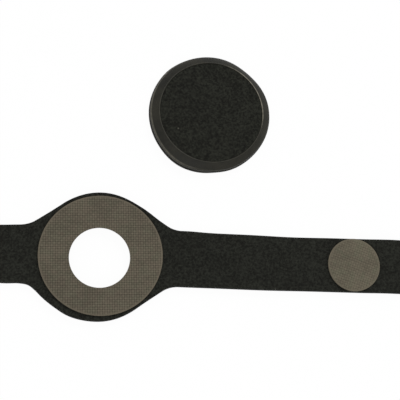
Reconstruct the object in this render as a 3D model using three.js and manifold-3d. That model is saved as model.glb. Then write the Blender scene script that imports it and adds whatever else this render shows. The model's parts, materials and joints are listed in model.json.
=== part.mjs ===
// Grounding wrist strap in two loose parts, laid out flat: a soft band with a round eye, and a round contact disc.
// The band is a laminate of a looped knit back, a foam core and a knit liner. A woven grip ring lies round the hole
// of the eye, and a woven grip coin on the right arm closes the band on the back of the left arm.
// The disc fastens with its looped foot on the grip ring, and its snap stud is reached through the hole of the eye.
// Units are millimetres, +Z is up. The band is shown with the side that faces the wrist on top, so it wraps upwards.

import * as THREE from 'three';
import { mergeVertices } from 'three/addons/utils/BufferGeometryUtils.js';
import Module from 'manifold-3d';

// General
const RUNNING_GAP = 0.3; // between round walls that fit in each other
const CUT_OVERRUN = 2; // how far a cutting solid passes the faces that it cuts
const TURNED_STEPS = 72; // facets round the disc's turned pieces
const SMALL_TURNED_STEPS = 36; // facets round the snap fastener
const ARC_STEPS = 8; // half the facets of one arc of an outline
const ARCS_PER_CIRCLE = 4;

// Band laminate
const BAND_WIDTH = 20;
const BACK_THICKNESS = 0.4;
const CORE_THICKNESS = 1.8;
const LINER_THICKNESS = 0.4;
const BAND_THICKNESS = BACK_THICKNESS + CORE_THICKNESS + LINER_THICKNESS;

// Eye
const EYE_RADIUS = 23.3;
const SHOULDER_SLOPE_DEG = 35;
const SHOULDER_FILLET = 10;

// Grip fabric and the adhesive film under it
const GRIP_THICKNESS = 0.7;
const FILM_THICKNESS = 0.2;
const FILM_SETBACK = 0.5; // the film stops this far inside the fabric's edges
const GRIP_STACK = GRIP_THICKNESS + FILM_THICKNESS;
const RING_MARGIN = 1.3; // band left bare outside the ring, on average
const RING_RADIUS = EYE_RADIUS - RING_MARGIN;
// The ring is laid a little off the eye's centre. Its hole hides the wider hole of the soft band under it.
const RING_OFFSET_X = 0.4;
const RING_OFFSET_Y = 0.3;
const HOLE_RADIUS = 11;
const HOLE_DROP = 0.65; // from the eye's centre to the centre of the ring's hole, away from the disc
const HOLE_SETBACK = 0.9; // by which the band's hole is wider all round than the ring's
const BAND_HOLE_RADIUS = HOLE_RADIUS + HOLE_SETBACK;
const COIN_MARGIN = 0.15; // band left bare beside the coin
const COIN_RADIUS = BAND_WIDTH / 2 - COIN_MARGIN;
const COIN_SETBACK = 23.4; // from the last right fold line to the coin's centre

// Folding: each arm bends at evenly spaced lines, and closes at the full fold angle of all of them
const FOLDS_PER_ARM = 4;
const FOLD_ANGLE_DEG = 45;
const FIRST_FOLD_MARGIN = 1.6; // from the ring's edge to the first fold line
const FIRST_FOLD_X = RING_RADIUS + RING_OFFSET_X + FIRST_FOLD_MARGIN;
const LEFT_FOLD_PITCH = 14;
const FOLD_GAP = 0.3;
const CLOSURE_CLEARANCE = 0.3; // between the coin and the left arm's back in the closed loop
const LEFT_TAIL = 44;
const RIGHT_TAIL = 54;

// Disc, from the foot up
const DISC_RADIUS = 23.1;
const LAYOUT_GAP = 9.6; // between the eye's edge and the disc's edge, across the band
const DISC_OFFSET_X = 40;
const FOOT_THICKNESS = 0.6;
const FOOT_SETBACK = 1.1;
const FOOT_RADIUS = DISC_RADIUS - FOOT_SETBACK;
const FOOT_INNER_MARGIN = 0.7;
const FLANGE_THICKNESS = 1.1;
const BASE_BAND_WIDTH = 11.6; // width of the base's underside round the hollow
const HOLLOW_RADIUS = DISC_RADIUS - BASE_BAND_WIDTH;
const HOLLOW_DEPTH = 1.6;
const WEB_THICKNESS = 0.8;
const PLATE_THICKNESS = 0.3;
const PAD_FOAM_THICKNESS = 1.2;
const PAD_FACE_THICKNESS = 0.4;
const RIM_WIDTH = 4; // from the disc's edge to the pad
const PAD_RADIUS = DISC_RADIUS - RIM_WIDTH;
const PAD_HEM = 0.7; // width of the fabric's turned-out hem
const PAD_SHOULDER = 1.6; // width over which the pad's edge rounds down
const PAD_SHOULDER_DROP = 0.45;
const BEZEL_LAND = 0.35; // width of flange left bare outside the bezel
const BEZEL_FOOT_HEIGHT = 1.4; // of its upright outer wall
const BEZEL_CHAMFER = 0.3; // where the wall turns into the slope
const BEZEL_LIP_THICKNESS = 0.9;
const BEZEL_BEAD_RISE = 0.25;
const BEZEL_BEAD_WIDTH = 0.9;

// Snap stud and its rivet
const STUD_RADIUS = 2;
const STUD_NECK_RADIUS = 1.55;
const STUD_FLANGE_RADIUS = 4.6;
const STUD_FLANGE_THICKNESS = 0.4;
const STUD_HEIGHT = 1.75; // from the flange to the stud's end face
const STUD_END_THICKNESS = 0.8;
const RIVET_SHANK_RADIUS = 1;
const RIVET_HEAD_RADIUS = 3.2;
const RIVET_HEAD_THICKNESS = 0.3;

// Heights worked out from the sizes above
const LINER_Z = BACK_THICKNESS + CORE_THICKNESS;
const GRIP_Z = BAND_THICKNESS + FILM_THICKNESS;
const BASE_Z = FOOT_THICKNESS + FILM_THICKNESS;
const FLANGE_Z = BASE_Z + FLANGE_THICKNESS;
const WEB_Z = BASE_Z + HOLLOW_DEPTH;
const PLATE_Z = WEB_Z + WEB_THICKNESS;
const PAD_Z = PLATE_Z + PLATE_THICKNESS;
const FACE_Z = PAD_Z + PAD_FOAM_THICKNESS;
const PAD_TOP_Z = FACE_Z + PAD_FACE_THICKNESS;

// Places worked out from the sizes above
const foldAngle = THREE.MathUtils.degToRad(FOLD_ANGLE_DEG);
const loopRisePerPitch = Array.from({ length: FOLDS_PER_ARM - 1 }, (_, k) => Math.sin((k + 1) * foldAngle))
  .reduce((sum, rise) => sum + rise, 0);
// The right arm closes outside the left one, so its folds are spaced wider by what has to fit between them.
const RIGHT_FOLD_PITCH = LEFT_FOLD_PITCH + (BAND_THICKNESS + GRIP_STACK + CLOSURE_CLEARANCE) / loopRisePerPitch;
const LEFT_LAST_FOLD_X = FIRST_FOLD_X + (FOLDS_PER_ARM - 1) * LEFT_FOLD_PITCH;
const RIGHT_LAST_FOLD_X = FIRST_FOLD_X + (FOLDS_PER_ARM - 1) * RIGHT_FOLD_PITCH;
const LEFT_REACH = LEFT_LAST_FOLD_X + LEFT_TAIL;
const RIGHT_REACH = RIGHT_LAST_FOLD_X + RIGHT_TAIL;
const COIN_X = RIGHT_LAST_FOLD_X + COIN_SETBACK;
const DISC_Y = EYE_RADIUS + LAYOUT_GAP + DISC_RADIUS;
// The origin is the centre of the layout's footprint, on the surface that everything lies on.
const LAYOUT_CENTRE = new THREE.Vector3((RIGHT_REACH - LEFT_REACH) / 2, (DISC_Y + DISC_RADIUS - EYE_RADIUS) / 2, 0);

// Finishes, as the photograph shows them
const finish = (color, roughness, metalness = 0) => () => new THREE.MeshStandardMaterial({ color, roughness, metalness });
const blackKnit = finish(0x252522, 0.95);
const blackFoam = finish(0x1b1b1a, 1);
const loopKnit = finish(0x222220, 0.95);
const taupeWeave = finish(0x595447, 0.9);
const adhesiveFilm = finish(0x8a8672, 0.5);
const mouldedBlack = finish(0x2f2d28, 0.45);
const steel = finish(0xb9bbbd, 0.25, 1);

const wasm = await Module();
wasm.setup();

/** A closed three.js geometry as a solid that can be joined and cut. */
function solidOf(geometry) {
  const bare = geometry.clone();
  bare.deleteAttribute('normal');
  bare.deleteAttribute('uv');
  const merged = mergeVertices(bare);
  return new wasm.Manifold(new wasm.Mesh({
    numProp: 3,
    vertProperties: new Float32Array(merged.attributes.position.array),
    triVerts: new Uint32Array(merged.index.array),
  }));
}

/** A solid as a three.js geometry. */
function geometryOf(solid) {
  const mesh = solid.getMesh();
  const geometry = new THREE.BufferGeometry();
  geometry.setAttribute('position', new THREE.BufferAttribute(mesh.vertProperties, 3));
  geometry.setIndex(new THREE.BufferAttribute(mesh.triVerts, 1));
  geometry.computeVertexNormals();
  return geometry;
}

/** A named mesh with its own material. */
function piece(name, geometry, makeMaterial) {
  const mesh = new THREE.Mesh(geometry, makeMaterial());
  mesh.name = name;
  return mesh;
}

/** A flat sheet of the given outline, with its underside at height z. */
function sheet(shape, z, thickness) {
  const options = { depth: thickness, bevelEnabled: false, curveSegments: ARC_STEPS };
  return new THREE.ExtrudeGeometry(shape, options).translate(0, 0, z);
}

/** Adds a full circle to a path, as equal arcs. */
function addCircle(path, radius, x = 0, y = 0) {
  const sweep = 2 * Math.PI / ARCS_PER_CIRCLE;
  for (let k = 0; k < ARCS_PER_CIRCLE; k += 1) path.absarc(x, y, radius, k * sweep, (k + 1) * sweep, false);
  return path;
}

/** A round outline, with a round hole where an inner radius is given. The hole may lie off the centre. */
function roundOutline(radius, innerRadius = 0, holeX = 0, holeY = 0) {
  const shape = addCircle(new THREE.Shape(), radius);
  if (innerRadius > 0) shape.holes.push(addCircle(new THREE.Path(), innerRadius, holeX, holeY));
  return shape;
}

/**
 * A solid turned about the Z axis. The profile runs anticlockwise in radius and height, from the underside outwards.
 * It starts and ends on the axis, or closes on itself when it is a ring's.
 */
function turned(profile, steps = TURNED_STEPS) {
  const points = profile.map(([radius, z]) => new THREE.Vector2(radius, z));
  const onAxis = points[0].x === 0 && points[points.length - 1].x === 0;
  if (!onAxis) points.push(points[0].clone());
  return new THREE.LatheGeometry(points, steps).rotateX(Math.PI / 2);
}

/** The band's outline: two straight arms with round ends, joined to the round eye by filleted shoulders. */
function bandOutline() {
  const half = BAND_WIDTH / 2;
  const slope = THREE.MathUtils.degToRad(SHOULDER_SLOPE_DEG);
  const tangent = new THREE.Vector2(Math.sin(slope), Math.cos(slope)).multiplyScalar(EYE_RADIUS);
  const cornerX = tangent.x + (tangent.y - half) / Math.tan(slope);
  const filletX = cornerX + SHOULDER_FILLET * Math.tan(slope / 2);
  const filletY = half + SHOULDER_FILLET;
  const fromEye = Math.PI / 2 - slope;

  const shape = new THREE.Shape();
  shape.moveTo(filletX, -half);
  shape.lineTo(RIGHT_REACH - half, -half);
  shape.absarc(RIGHT_REACH - half, 0, half, -Math.PI / 2, Math.PI / 2, false);
  shape.lineTo(filletX, half);
  shape.absarc(filletX, filletY, SHOULDER_FILLET, -Math.PI / 2, -Math.PI / 2 - slope, true);
  shape.absarc(0, 0, EYE_RADIUS, fromEye, Math.PI - fromEye, false);
  shape.absarc(-filletX, filletY, SHOULDER_FILLET, slope - Math.PI / 2, -Math.PI / 2, true);
  shape.lineTo(half - LEFT_REACH, half);
  shape.absarc(half - LEFT_REACH, 0, half, Math.PI / 2, 3 * Math.PI / 2, false);
  shape.lineTo(-filletX, -half);
  shape.absarc(-filletX, -filletY, SHOULDER_FILLET, Math.PI / 2, Math.PI / 2 - slope, true);
  shape.absarc(0, 0, EYE_RADIUS, Math.PI + fromEye, 2 * Math.PI - fromEye, false);
  shape.absarc(filletX, -filletY, SHOULDER_FILLET, Math.PI / 2 + slope, Math.PI / 2, true);
  shape.holes.push(addCircle(new THREE.Path(), BAND_HOLE_RADIUS));
  return shape;
}

/** The stretches of the band between its fold lines, each with its name and its two ends. */
function bandStretches() {
  const stretches = [{ name: 'eye', from: FOLD_GAP / 2 - FIRST_FOLD_X, to: FIRST_FOLD_X - FOLD_GAP / 2 }];
  for (let k = 1; k <= FOLDS_PER_ARM; k += 1) {
    const last = k === FOLDS_PER_ARM;
    const leftNear = FIRST_FOLD_X + (k - 1) * LEFT_FOLD_PITCH + FOLD_GAP / 2;
    const leftFar = last ? LEFT_REACH + CUT_OVERRUN : leftNear + LEFT_FOLD_PITCH - FOLD_GAP;
    const rightNear = FIRST_FOLD_X + (k - 1) * RIGHT_FOLD_PITCH + FOLD_GAP / 2;
    const rightFar = last ? RIGHT_REACH + CUT_OVERRUN : rightNear + RIGHT_FOLD_PITCH - FOLD_GAP;
    stretches.push({ name: `left_${k}`, from: -leftFar, to: -leftNear });
    stretches.push({ name: `right_${k}`, from: rightNear, to: rightFar });
  }
  return stretches;
}

/** The three plies of the band, each cut into stretches at the fold lines. */
function band() {
  const plies = [
    { name: 'band_back', z: 0, thickness: BACK_THICKNESS, material: loopKnit },
    { name: 'band_core', z: BACK_THICKNESS, thickness: CORE_THICKNESS, material: blackFoam },
    { name: 'band_liner', z: LINER_Z, thickness: LINER_THICKNESS, material: blackKnit },
  ];
  const outline = bandOutline();
  const group = new THREE.Group();
  const cutWidth = 2 * (EYE_RADIUS + CUT_OVERRUN);
  const cutHeight = BAND_THICKNESS + 2 * CUT_OVERRUN;
  for (const ply of plies) {
    const whole = solidOf(sheet(outline, ply.z, ply.thickness));
    for (const { name, from, to } of bandStretches()) {
      const window = new THREE.BoxGeometry(to - from, cutWidth, cutHeight);
      window.translate((from + to) / 2, 0, BAND_THICKNESS / 2);
      group.add(piece(`${ply.name}_${name}`, geometryOf(whole.intersect(solidOf(window))), ply.material));
    }
  }
  return group;
}

/** The grip ring round the hole and the grip coin on the right arm, each on its film of adhesive. */
function grips() {
  const group = new THREE.Group();
  const ring = new THREE.Group();
  ring.position.set(RING_OFFSET_X, RING_OFFSET_Y, 0);
  const ringShape = roundOutline(RING_RADIUS, HOLE_RADIUS, -RING_OFFSET_X, -RING_OFFSET_Y - HOLE_DROP);
  const ringFilm = roundOutline(
    RING_RADIUS - FILM_SETBACK,
    BAND_HOLE_RADIUS + FILM_SETBACK,
    -RING_OFFSET_X,
    -RING_OFFSET_Y,
  );
  ring.add(piece('grip_ring_film', sheet(ringFilm, BAND_THICKNESS, FILM_THICKNESS), adhesiveFilm));
  ring.add(piece('grip_ring', sheet(ringShape, GRIP_Z, GRIP_THICKNESS), taupeWeave));
  group.add(ring);

  const coin = new THREE.Group();
  coin.position.x = COIN_X;
  const coinFilm = roundOutline(COIN_RADIUS - FILM_SETBACK);
  coin.add(piece('closure_coin_film', sheet(coinFilm, BAND_THICKNESS, FILM_THICKNESS), adhesiveFilm));
  coin.add(piece('closure_coin', sheet(roundOutline(COIN_RADIUS), GRIP_Z, GRIP_THICKNESS), taupeWeave));
  group.add(coin);
  return group;
}

/** The disc's looped foot, which grips the ring, and the film of adhesive that holds it to the base. */
function discFoot() {
  const inner = HOLLOW_RADIUS + FOOT_INNER_MARGIN;
  const film = roundOutline(FOOT_RADIUS - FILM_SETBACK, inner + FILM_SETBACK);
  return [
    piece('disc_foot_loop', sheet(roundOutline(FOOT_RADIUS, inner), 0, FOOT_THICKNESS), loopKnit),
    piece('disc_foot_film', sheet(film, FOOT_THICKNESS, FILM_THICKNESS), adhesiveFilm),
  ];
}

/** The moulded base: a flange all round, a hollow under the web for the cord's snap, and a raised seat for the pad. */
function discBase() {
  const rivetHole = RIVET_SHANK_RADIUS + RUNNING_GAP;
  const seatRadius = PAD_RADIUS + PAD_HEM;
  return piece('disc_base', turned([
    [rivetHole, WEB_Z],
    [HOLLOW_RADIUS, WEB_Z],
    [HOLLOW_RADIUS, BASE_Z],
    [DISC_RADIUS, BASE_Z],
    [DISC_RADIUS, FLANGE_Z],
    [seatRadius, FLANGE_Z],
    [seatRadius, PLATE_Z],
    [rivetHole, PLATE_Z],
  ]), mouldedBlack);
}

/** The bevelled bezel that stands on the flange. Its lip holds the pad's hem down, and a bead runs round the pad. */
function discBezel() {
  const outer = DISC_RADIUS - BEZEL_LAND;
  const bore = PAD_RADIUS + PAD_HEM + RUNNING_GAP;
  const lipRadius = PAD_RADIUS + RUNNING_GAP;
  const beadRadius = lipRadius + BEZEL_BEAD_WIDTH;
  const lipZ = PAD_Z + PAD_FACE_THICKNESS + RUNNING_GAP;
  const lipTop = lipZ + BEZEL_LIP_THICKNESS;
  const beadTop = lipTop + BEZEL_BEAD_RISE;
  const wallTop = FLANGE_Z + BEZEL_FOOT_HEIGHT;
  return piece('disc_bezel', turned([
    [bore, FLANGE_Z],
    [outer, FLANGE_Z],
    [outer, wallTop - BEZEL_CHAMFER],
    [outer - BEZEL_CHAMFER, wallTop],
    [beadRadius, lipTop],
    [(2 * beadRadius + lipRadius) / 3, beadTop],
    [(beadRadius + 2 * lipRadius) / 3, beadTop],
    [lipRadius, lipTop],
    [lipRadius, lipZ],
    [bore, lipZ],
  ]), mouldedBlack);
}

/** The steel plate that joins the pad's fabric to the stud. */
function contactPlate() {
  const shape = roundOutline(PAD_RADIUS + PAD_HEM, RIVET_SHANK_RADIUS + RUNNING_GAP);
  return piece('contact_plate', sheet(shape, PLATE_Z, PLATE_THICKNESS), steel);
}

/** The pad: a foam disc that clears the rivet's head, and the conductive fabric drawn over it down to the plate. */
function pad() {
  const wallRadius = PAD_RADIUS - PAD_FACE_THICKNESS;
  const foamRadius = wallRadius - RUNNING_GAP;
  const recessRadius = RIVET_HEAD_RADIUS + RUNNING_GAP;
  const recessZ = PAD_Z + RIVET_HEAD_THICKNESS + RUNNING_GAP;
  const hemRadius = PAD_RADIUS + PAD_HEM;
  const crownShares = [[1, 0], [0.6, 0.12], [0.25, 0.42], [0, 1]]; // inwards and downwards shares of the shoulder
  const shoulder = (edge, top) => crownShares.map(([inwards, down]) => [
    edge - PAD_SHOULDER * inwards,
    top - PAD_SHOULDER_DROP * down,
  ]);
  const foam = turned([
    [0, recessZ],
    [recessRadius, recessZ],
    [recessRadius, PAD_Z],
    [foamRadius, PAD_Z],
    ...shoulder(foamRadius, FACE_Z).reverse(),
    [0, FACE_Z],
  ]);
  const face = turned([
    [0, FACE_Z],
    ...shoulder(wallRadius, FACE_Z),
    [wallRadius, PAD_Z],
    [hemRadius, PAD_Z],
    [hemRadius, PAD_Z + PAD_FACE_THICKNESS],
    [PAD_RADIUS, PAD_Z + PAD_FACE_THICKNESS],
    ...shoulder(PAD_RADIUS, PAD_TOP_Z).reverse(),
    [0, PAD_TOP_Z],
  ]);
  return [piece('pad_foam', foam, blackFoam), piece('pad_face', face, blackKnit)];
}

/** The snap stud under the web, and the rivet that holds it through the web and the plate. */
function snapFastener() {
  const flangeZ = WEB_Z - STUD_FLANGE_THICKNESS;
  const endZ = flangeZ - STUD_HEIGHT;
  const boreRadius = RIVET_SHANK_RADIUS + RUNNING_GAP;
  const boreZ = endZ + STUD_END_THICKNESS;
  const headShares = [[0.65, 0], [0.93, 0.15], [1, 0.4], [0.93, 0.62]]; // radius and height shares of the stud's head
  const stud = turned([
    [0, endZ],
    ...headShares.map(([out, up]) => [STUD_RADIUS * out, endZ + STUD_HEIGHT * up]),
    [STUD_NECK_RADIUS, flangeZ - STUD_FLANGE_THICKNESS],
    [STUD_NECK_RADIUS, flangeZ],
    [STUD_FLANGE_RADIUS, flangeZ],
    [STUD_FLANGE_RADIUS, WEB_Z],
    [boreRadius, WEB_Z],
    [boreRadius, boreZ],
    [0, boreZ],
  ], SMALL_TURNED_STEPS);
  const rivet = turned([
    [0, boreZ + RUNNING_GAP],
    [RIVET_SHANK_RADIUS, boreZ + RUNNING_GAP],
    [RIVET_SHANK_RADIUS, PAD_Z],
    [RIVET_HEAD_RADIUS, PAD_Z],
    [RIVET_HEAD_RADIUS, PAD_Z + RIVET_HEAD_THICKNESS],
    [0, PAD_Z + RIVET_HEAD_THICKNESS],
  ], SMALL_TURNED_STEPS);
  return [piece('ground_stud', stud, steel), piece('stud_rivet', rivet, steel)];
}

/** The contact disc, pad side up, beside the band. */
function disc() {
  const group = new THREE.Group();
  group.position.set(DISC_OFFSET_X, DISC_Y, 0);
  group.add(...discFoot(), discBase(), discBezel(), contactPlate(), ...pad(), ...snapFastener());
  return group;
}

const wristStrap = new THREE.Group();
wristStrap.add(band(), grips(), disc());
wristStrap.position.copy(LAYOUT_CENTRE).negate();

export default wristStrap;
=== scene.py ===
import json
import logging
import math
from collections.abc import Callable, Iterator, Sequence
from contextlib import contextmanager
from dataclasses import dataclass, field
from enum import Enum

import bmesh
import bpy
import numpy as np
from mathutils import Matrix, Vector

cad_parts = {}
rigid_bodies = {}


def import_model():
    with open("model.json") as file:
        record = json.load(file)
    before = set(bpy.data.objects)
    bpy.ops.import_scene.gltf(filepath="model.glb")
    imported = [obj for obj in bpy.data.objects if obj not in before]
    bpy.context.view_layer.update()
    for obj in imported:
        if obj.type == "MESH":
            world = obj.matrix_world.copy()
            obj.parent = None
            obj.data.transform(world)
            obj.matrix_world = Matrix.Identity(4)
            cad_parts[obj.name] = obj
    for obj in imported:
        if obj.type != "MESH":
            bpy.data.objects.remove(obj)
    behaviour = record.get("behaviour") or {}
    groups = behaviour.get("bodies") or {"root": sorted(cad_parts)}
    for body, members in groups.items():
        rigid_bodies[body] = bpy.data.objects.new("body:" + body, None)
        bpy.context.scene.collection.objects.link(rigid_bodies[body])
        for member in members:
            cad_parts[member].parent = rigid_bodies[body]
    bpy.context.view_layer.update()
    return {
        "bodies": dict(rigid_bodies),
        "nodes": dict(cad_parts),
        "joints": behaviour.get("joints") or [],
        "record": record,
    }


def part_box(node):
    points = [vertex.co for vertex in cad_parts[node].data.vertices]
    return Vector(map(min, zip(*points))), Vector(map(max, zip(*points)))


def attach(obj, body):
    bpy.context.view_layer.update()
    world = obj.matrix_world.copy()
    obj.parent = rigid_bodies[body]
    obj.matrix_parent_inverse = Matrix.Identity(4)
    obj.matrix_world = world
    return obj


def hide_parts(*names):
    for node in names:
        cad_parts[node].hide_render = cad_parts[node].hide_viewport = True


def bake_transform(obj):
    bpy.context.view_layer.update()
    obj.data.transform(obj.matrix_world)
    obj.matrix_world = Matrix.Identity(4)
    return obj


log = logging.getLogger("wrist_strap")

MM = 0.001  # a bench millimetre, in metres
TOUCHING = 0.001  # bench places that are this close together are the same place
OVERRUN = 2.0  # how far a cutting tool reaches past what it cuts, on the bench
FLAT = 0.9  # a face whose normal has at least this much Z is taken as level
FLAT_WITHIN = math.radians(0.8)  # edges that turn less than this are dissolved
ENDLESS = 1e4  # a period longer than any outline, for one that doesn't repeat
ALONG_X = Vector((1, 0, 0))
ALONG_Y = Vector((0, 1, 0))
CLOTH_PLACE = "cloth_place"
TURNED_RADIUS = "turned_radius"
Point = tuple[float, float]
Colour = tuple[float, float, float]
Socket = bpy.types.NodeSocket


class Pick(Enum):
    """What edit mode selects."""

    VERT = "verts"
    EDGE = "edges"
    FACE = "faces"


class Cut(Enum):
    """How two solids are combined."""

    JOIN = "UNION"
    REMOVE = "DIFFERENCE"
    KEEP_COMMON = "INTERSECT"


class Ply(Enum):
    """The layers of the band, from the outside of the wrist inwards."""

    BACK = "back"
    CORE = "core"
    LINER = "liner"


class Arm(Enum):
    """The two arms of the band, with the direction in which each runs along X."""

    LEFT = -1
    RIGHT = 1

    @property
    def label(self) -> str:
        """The arm's name in the frame."""
        return self.name.lower()


# Bench tools


def take(obj: bpy.types.Object) -> None:
    """Make one object the only one that is selected.

    Args:
        obj: The object.
    """
    bpy.ops.object.select_all(action="DESELECT")
    obj.select_set(True)
    bpy.context.view_layer.objects.active = obj


@contextmanager
def editing(obj: bpy.types.Object) -> Iterator[None]:
    """Open an object in edit mode with all of it selected, and leave edit mode afterwards.

    Args:
        obj: The object.

    Yields:
        Nothing, while the object is open.
    """
    take(obj)
    bpy.ops.object.mode_set(mode="EDIT")
    bpy.ops.mesh.select_mode(type="VERT")
    bpy.ops.mesh.select_all(action="SELECT")
    yield
    bpy.ops.object.mode_set(mode="OBJECT")


def pick(obj: bpy.types.Object, kind: Pick, wanted: Callable[[object], bool]) -> int:
    """Select the vertices, edges or faces that pass a test, and nothing else.

    Args:
        obj: The object that is open in edit mode.
        kind: What to select.
        wanted: The test, given a bmesh element.

    Returns:
        How many were selected.
    """
    bpy.ops.mesh.select_mode(type=kind.name)
    bpy.ops.mesh.select_all(action="DESELECT")
    mesh = bmesh.from_edit_mesh(obj.data)
    found = [item for item in getattr(mesh, kind.value) if wanted(item)]
    for item in found:
        item.select_set(True)
    mesh.select_flush_mode()
    bmesh.update_edit_mesh(obj.data)
    return len(found)


def on_all(operator: Callable, **settings) -> None:
    """Select the whole open mesh and run an operator on it."""
    bpy.ops.mesh.select_all(action="SELECT")
    operator(**settings)


def face_out() -> None:
    """Turn all faces of the open mesh outwards."""
    on_all(bpy.ops.mesh.normals_make_consistent, inside=False)


def bisect(obj: bpy.types.Object, place: Sequence[float], normal: Sequence[float], **settings) -> None:
    """Cut an object's faces along a plane, given by a point on it and its normal."""
    with editing(obj):
        bpy.ops.mesh.bisect(plane_co=place, plane_no=normal, **settings)


def is_rim(edge: bmesh.types.BMEdge) -> bool:
    """Tell whether an edge lies between a level face and an upright one."""
    tilts = sorted(abs(face.normal.z) for face in edge.link_faces)
    return len(tilts) == 2 and tilts[0] < 1 - FLAT and tilts[1] > FLAT


def is_upright(edge: bmesh.types.BMEdge) -> bool:
    """Tell whether an edge's ends lie at different heights."""
    return abs(edge.verts[0].co.z - edge.verts[1].co.z) > TOUCHING


def is_at(edge: bmesh.types.BMEdge, height: float) -> bool:
    """Tell whether an edge's first end lies at a height."""
    return abs(edge.verts[0].co.z - height) < TOUCHING


def named(name: str) -> bpy.types.Object:
    """Give the object that was just added its name.

    Args:
        name: The name, for its mesh too.

    Returns:
        The object.
    """
    obj = bpy.context.active_object
    obj.name = name
    obj.data.name = name
    return obj


def block(name: str, first: Sequence[float], second: Sequence[float]) -> bpy.types.Object:
    """Add a box on the bench.

    Args:
        name: The box's name.
        first: Any corner.
        second: The corner opposite to it.

    Returns:
        The box.
    """
    low, high = Vector(map(min, first, second)), Vector(map(max, first, second))
    bpy.ops.object.select_all(action="DESELECT")
    bpy.ops.mesh.primitive_cube_add(size=1, location=(low + high) / 2)
    obj = named(name)
    obj.scale = high - low
    bpy.ops.object.transform_apply(location=True, rotation=False, scale=True)
    return obj


def drum(name: str, radius: float, span: Point, steps: int) -> bpy.types.Object:
    """Add an upright cylinder about the bench's origin.

    Args:
        name: The cylinder's name.
        radius: Its radius.
        span: Heights of its two ends, the lower one first.
        steps: Facets round it.

    Returns:
        The cylinder.
    """
    low, high = span
    bpy.ops.object.select_all(action="DESELECT")
    bpy.ops.mesh.primitive_cylinder_add(
        vertices=steps, radius=radius, depth=high - low, location=(0, 0, (low + high) / 2)
    )
    obj = named(name)
    bpy.ops.object.transform_apply(location=True, rotation=False, scale=False)
    return obj


def punch(name: str, radius: float, span: Point, steps: int) -> bpy.types.Object:
    """Add a cylinder that cuts through whatever lies between two heights."""
    return drum(name, radius, (span[0] - OVERRUN, span[1] + OVERRUN), steps)


def combine(obj: bpy.types.Object, tool: bpy.types.Object, how: Cut) -> None:
    """Join or cut an object with another solid.

    Args:
        obj: The object that is changed.
        tool: The other solid, which is used up.
        how: What is kept.
    """
    take(obj)
    modifier = obj.modifiers.new(how.name, "BOOLEAN")
    modifier.operation = how.value
    modifier.solver = "MANIFOLD"
    modifier.object = tool
    bpy.ops.object.modifier_apply(modifier=modifier.name)
    bpy.data.objects.remove(tool)


def copy_of(obj: bpy.types.Object, name: str) -> bpy.types.Object:
    """Copy an object with a mesh of its own.

    Args:
        obj: The object.
        name: The copy's name.

    Returns:
        The copy.
    """
    take(obj)
    bpy.ops.object.duplicate(linked=False)
    return named(name)


def turned(name: str, profile: Sequence[Point], steps: int, ring: bool = False) -> bpy.types.Object:
    """Turn a profile about the bench's upright axis, by extruding a circle from point to point.

    Args:
        name: The new object's name.
        profile: Radius and height of each point, in order round the section.
        steps: Facets round the axis.
        ring: Whether the section closes on itself. Otherwise both ends are capped.

    Returns:
        The turned solid, with its faces pointing out.
    """
    radius, height = profile[0]
    bpy.ops.object.select_all(action="DESELECT")
    bpy.ops.mesh.primitive_circle_add(
        vertices=steps, radius=radius, fill_type="NOTHING", location=(0, 0, 0)
    )
    obj = named(name)
    onward = [*profile[1:], profile[0]] if ring else profile[1:]
    with editing(obj):
        bpy.ops.mesh.select_mode(type="EDGE")
        bpy.ops.transform.translate(value=(0, 0, height))
        for next_radius, next_height in onward:
            bpy.ops.mesh.extrude_edges_move()
            scale = next_radius / radius
            bpy.ops.transform.resize(value=(scale, scale, 1), center_override=(0, 0, 0))
            bpy.ops.transform.translate(value=(0, 0, next_height - height))
            radius, height = next_radius, next_height
        if ring:
            on_all(bpy.ops.mesh.remove_doubles, threshold=TOUCHING)
        else:
            pick(obj, Pick.EDGE, lambda edge: edge.is_boundary)
            bpy.ops.mesh.fill_holes(sides=steps)
            pick(obj, Pick.FACE, lambda face: len(face.verts) > 4)
            bpy.ops.mesh.poke()
        face_out()
    return obj


def eased(radius: float, height: float, easing: Sequence[Point]) -> list[Point]:
    """Replace a profile's sharp corner by points, each given by how far out and up from it they lie."""
    return [(radius + outwards, height + upwards) for outwards, upwards in easing]


def settle(obj: bpy.types.Object, place: Vector, smooth_below: float) -> bpy.types.Object:
    """Smooth a finished bench piece and set it in place in metres, with its place in its mesh.

    Args:
        obj: The piece, modelled in millimetres.
        place: Where the bench's origin goes, in metres.
        smooth_below: Edges flatter than this many degrees are shaded smooth.

    Returns:
        The same object.
    """
    take(obj)
    bpy.ops.object.shade_smooth_by_angle(angle=math.radians(smooth_below))
    obj.scale = (MM, MM, MM)
    obj.location = place
    bpy.ops.object.transform_apply(location=True, rotation=True, scale=True)
    return obj


def dress(obj: bpy.types.Object, material: bpy.types.Material) -> None:
    """Give an object one material all over."""
    obj.data.materials.clear()
    obj.data.materials.append(material)


def points(mesh: bpy.types.Mesh) -> np.ndarray:
    """Read all of a mesh's points.

    Args:
        mesh: The mesh.

    Returns:
        One point to a row.
    """
    places = np.empty(len(mesh.vertices) * 3, np.float32)
    mesh.vertices.foreach_get("co", places)
    return places.reshape(-1, 3)


def move_points(mesh: bpy.types.Mesh, places: np.ndarray) -> None:
    """Move all of a mesh's points to new places."""
    mesh.vertices.foreach_set("co", places.ravel())
    mesh.update()


def centre_of(node: str) -> Vector:
    """Centre of a CAD node, on the surface that everything lies on."""
    low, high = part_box(node)
    return Vector(((low.x + high.x) / 2, (low.y + high.y) / 2, 0))


def heights(node: str) -> Point:
    """Lowest and highest height of a CAD node, in millimetres."""
    low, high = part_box(node)
    return low.z / MM, high.z / MM


def radius_of(node: str) -> float:
    """Half of a CAD node's size along X, in millimetres."""
    low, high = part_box(node)
    return (high.x - low.x) / 2 / MM


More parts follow.
